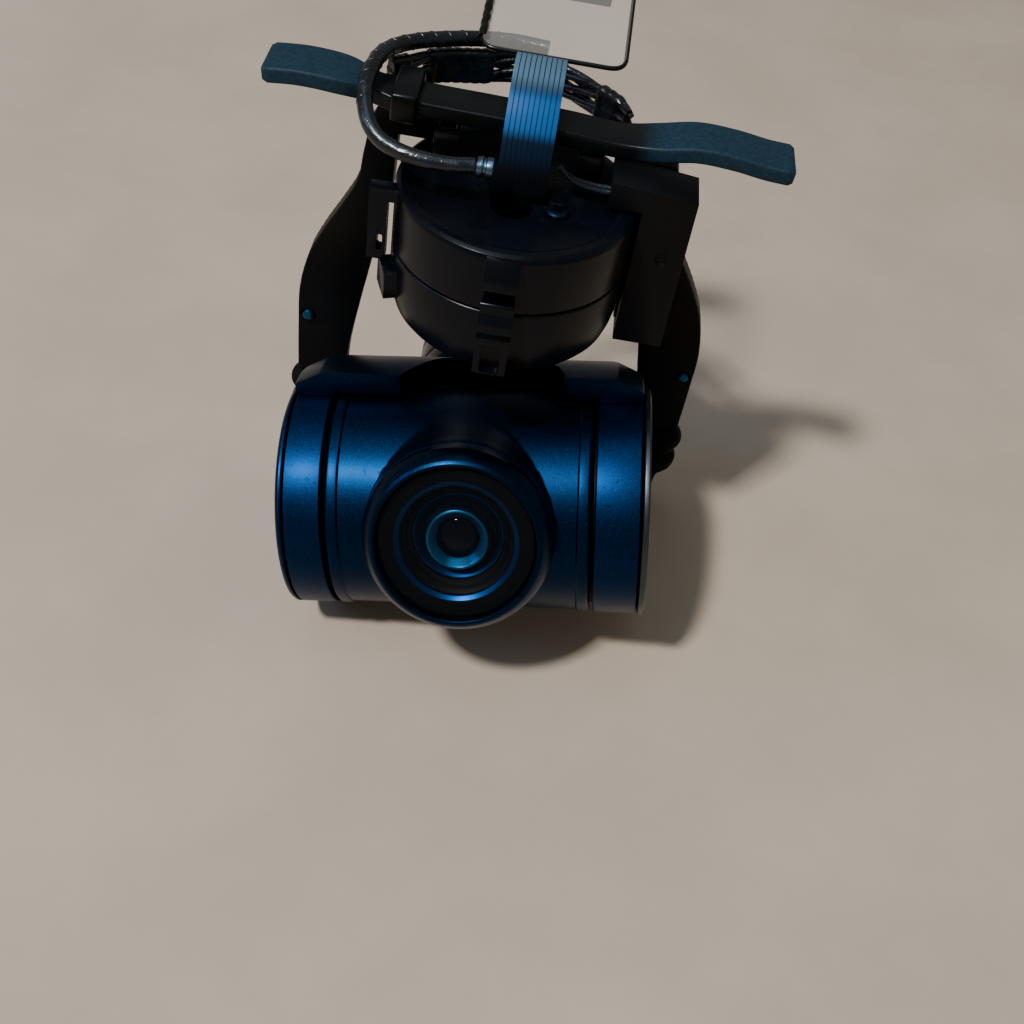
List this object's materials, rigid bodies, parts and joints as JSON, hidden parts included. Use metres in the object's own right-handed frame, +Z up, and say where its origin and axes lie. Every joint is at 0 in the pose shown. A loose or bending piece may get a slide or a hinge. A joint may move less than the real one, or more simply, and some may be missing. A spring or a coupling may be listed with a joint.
{
  "type": "three axis camera gimbal",
  "caption": "Small drone camera gimbal: a wide tilting camera barrel in a roll yoke, hung from a round yaw motor with damped legs, a suspension bar and a flex ribbon.",
  "frame": {"origin": "on the yaw axis, in the flat roof of the yaw motor housing", "axes": "+Z up along the yaw axis out of the roof, +X to the right towards the driver box, along the suspension bar, -Y the way the lens looks when every joint is level"},
  "size_m": [0.0365, 0.0375, 0.0461],
  "materials": {
    "satin_shell": "satin black-blue lacquer",
    "satin_cap": "satin blue-black lacquer, fine speckle",
    "rim_disc": "brushed, dark",
    "housing": "moulded, semi-matt",
    "leg": "soft matt",
    "rubber": "matt",
    "bar": "matt, teal-black",
    "cable": "glossy wrap",
    "flex": "polyimide film over traces",
    "panel": "pale film",
    "steel": "machined",
    "magnet": "nickel plated",
    "copper": "enamelled core",
    "black": "semi-gloss",
    "glass": "coated",
    "board": "solder mask",
    "silver": "anodised silver-blue"
  },
  "bodies": {
    "mount": {"yaw_housing_upper": "housing", "housing_screw": "steel", "yaw_housing_lower": "housing", "yaw_bearing_lower": "steel", "yaw_bearing_upper": "steel", "yaw_stator": "copper", "driver_box": "housing", "driver_lid": "black", "driver_board": "board", "motor_lead_1": "cable", "motor_lead_2": "cable", "hanger_leg_left": "leg", "leg_pin_left": "silver", "damper_left": "rubber", "hanger_leg_right": "leg", "leg_pin_right": "silver", "damper_right": "rubber", "suspension_bar": "bar", "bar_post_left": "black", "bar_post_right": "black", "bar_saddle": "bar", "cable_bundle": "cable", "cable_lead": "cable", "cable_ferrule": "steel", "flex_ribbon": "flex", "flex_panel": "panel", "flex_connector": "black"},
    "yaw": {"yaw_rotor": "steel", "yaw_magnet_ring": "magnet", "yaw_arm": "satin_shell", "roll_cover_screw_1": "steel", "roll_cover_screw_2": "steel", "roll_housing": "housing", "roll_bearing": "steel", "roll_stator": "copper"},
    "roll": {"roll_rotor": "steel", "roll_magnet_ring": "magnet", "yoke_arm": "satin_shell", "yoke_screw_left": "steel", "yoke_screw_right": "steel", "yoke_cap_left": "satin_cap", "yoke_cap_right": "satin_cap", "cap_disc_left": "satin_cap", "cap_disc_right": "rim_disc", "tilt_bearing": "steel", "tilt_stator": "copper"},
    "tilt": {"barrel_front_shell": "satin_shell", "barrel_rear_shell": "satin_shell", "lens_ring": "satin_cap", "lens_window": "glass", "lens_mask": "black", "lens_baffle": "black", "lens_cell": "silver", "lens_element": "glass", "lens_tube": "black", "sensor_board": "board", "heat_spreader": "steel", "tilt_axle_left": "steel", "tilt_axle_right": "steel", "tilt_magnet_ring": "magnet"}
  },
  "joints": [
    {"name": "yaw_turn", "type": "hinge", "parent": "mount", "child": "yaw", "pos_m": [0, 0, -0.0261], "axis": [0, 0, 1], "range_deg": [-25, 21]},
    {"name": "roll_turn", "type": "hinge", "parent": "yaw", "child": "roll", "pos_m": [0, 0, -0.0261], "axis": [-0.0314, 0.9995, 0], "range_deg": [-15, 31]},
    {"name": "tilt_turn", "type": "hinge", "parent": "roll", "child": "tilt", "pos_m": [0.00015, -0.0047, -0.0261], "axis": [0.9872, 0.031, 0.1564], "range_deg": [-10, 118]}
  ]
}
